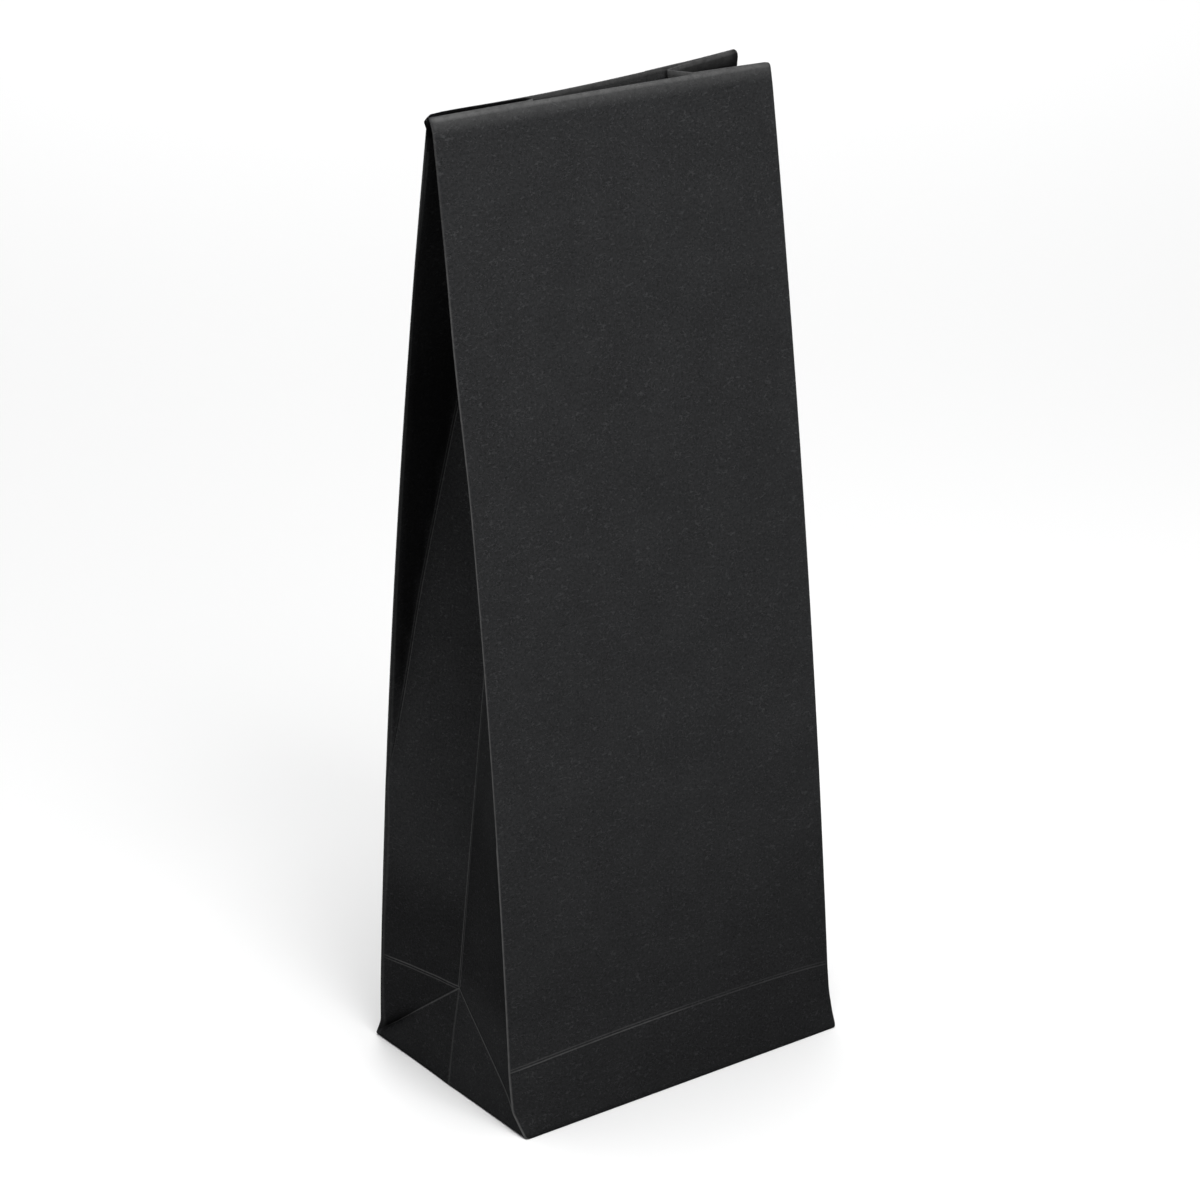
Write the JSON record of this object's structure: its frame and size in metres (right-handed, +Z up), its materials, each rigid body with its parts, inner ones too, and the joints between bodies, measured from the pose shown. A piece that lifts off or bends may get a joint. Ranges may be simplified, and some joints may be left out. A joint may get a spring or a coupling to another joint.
{
  "type": "paper gift bag",
  "caption": "Tall plain black kraft paper gift bag with tucked side folds, flat oblong base and open top, for packing food.",
  "frame": {"origin": "middle of the base, on the surface that the bag stands on", "axes": "+X runs across the front panel to its right, +Y runs from the front panel to the back panel, +Z runs up to the mouth"},
  "size_m": [0.1068, 0.0724, 0.2663],
  "materials": {
    "black_kraft": "matt uncoated paper with fine fibres"
  },
  "bodies": {
    "root": {"bag": "black_kraft"}
  },
  "joints": []
}
